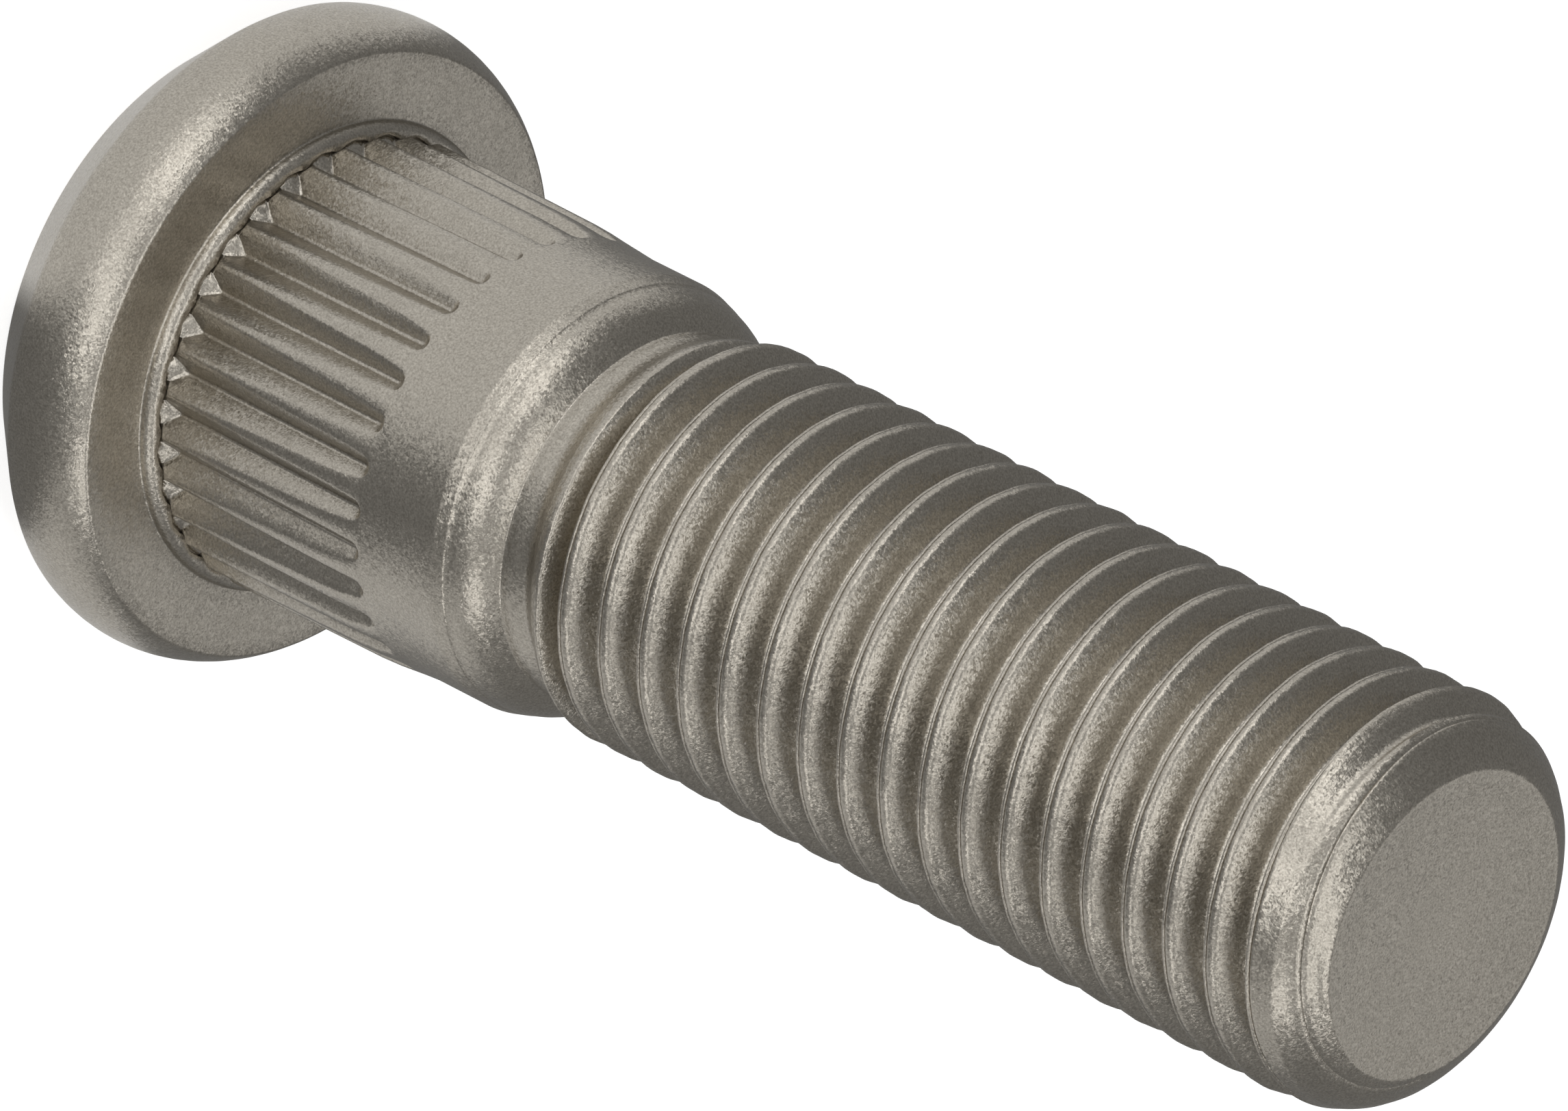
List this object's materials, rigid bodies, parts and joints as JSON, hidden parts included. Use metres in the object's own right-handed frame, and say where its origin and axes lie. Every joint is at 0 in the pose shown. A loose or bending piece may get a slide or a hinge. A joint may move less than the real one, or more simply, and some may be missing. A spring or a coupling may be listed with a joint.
{
  "type": "wheel stud",
  "caption": "Press-in wheel stud with a round rimmed head, a splined shank, a plain land, a rounded shoulder and a right-hand rolled thread.",
  "frame": {"origin": "centre of the head's outer face, on which the stud stands", "axes": "+Z along the stud's axis from the head to the tip; X and Y are radial, and +X passes through the middle of a groove between two teeth"},
  "size_m": [0.0192, 0.0192, 0.0469],
  "materials": {
    "steel": "warm grey phosphated steel, fine grained with small sparkle"
  },
  "bodies": {
    "root": {"wheel_stud": "steel"}
  },
  "joints": []
}
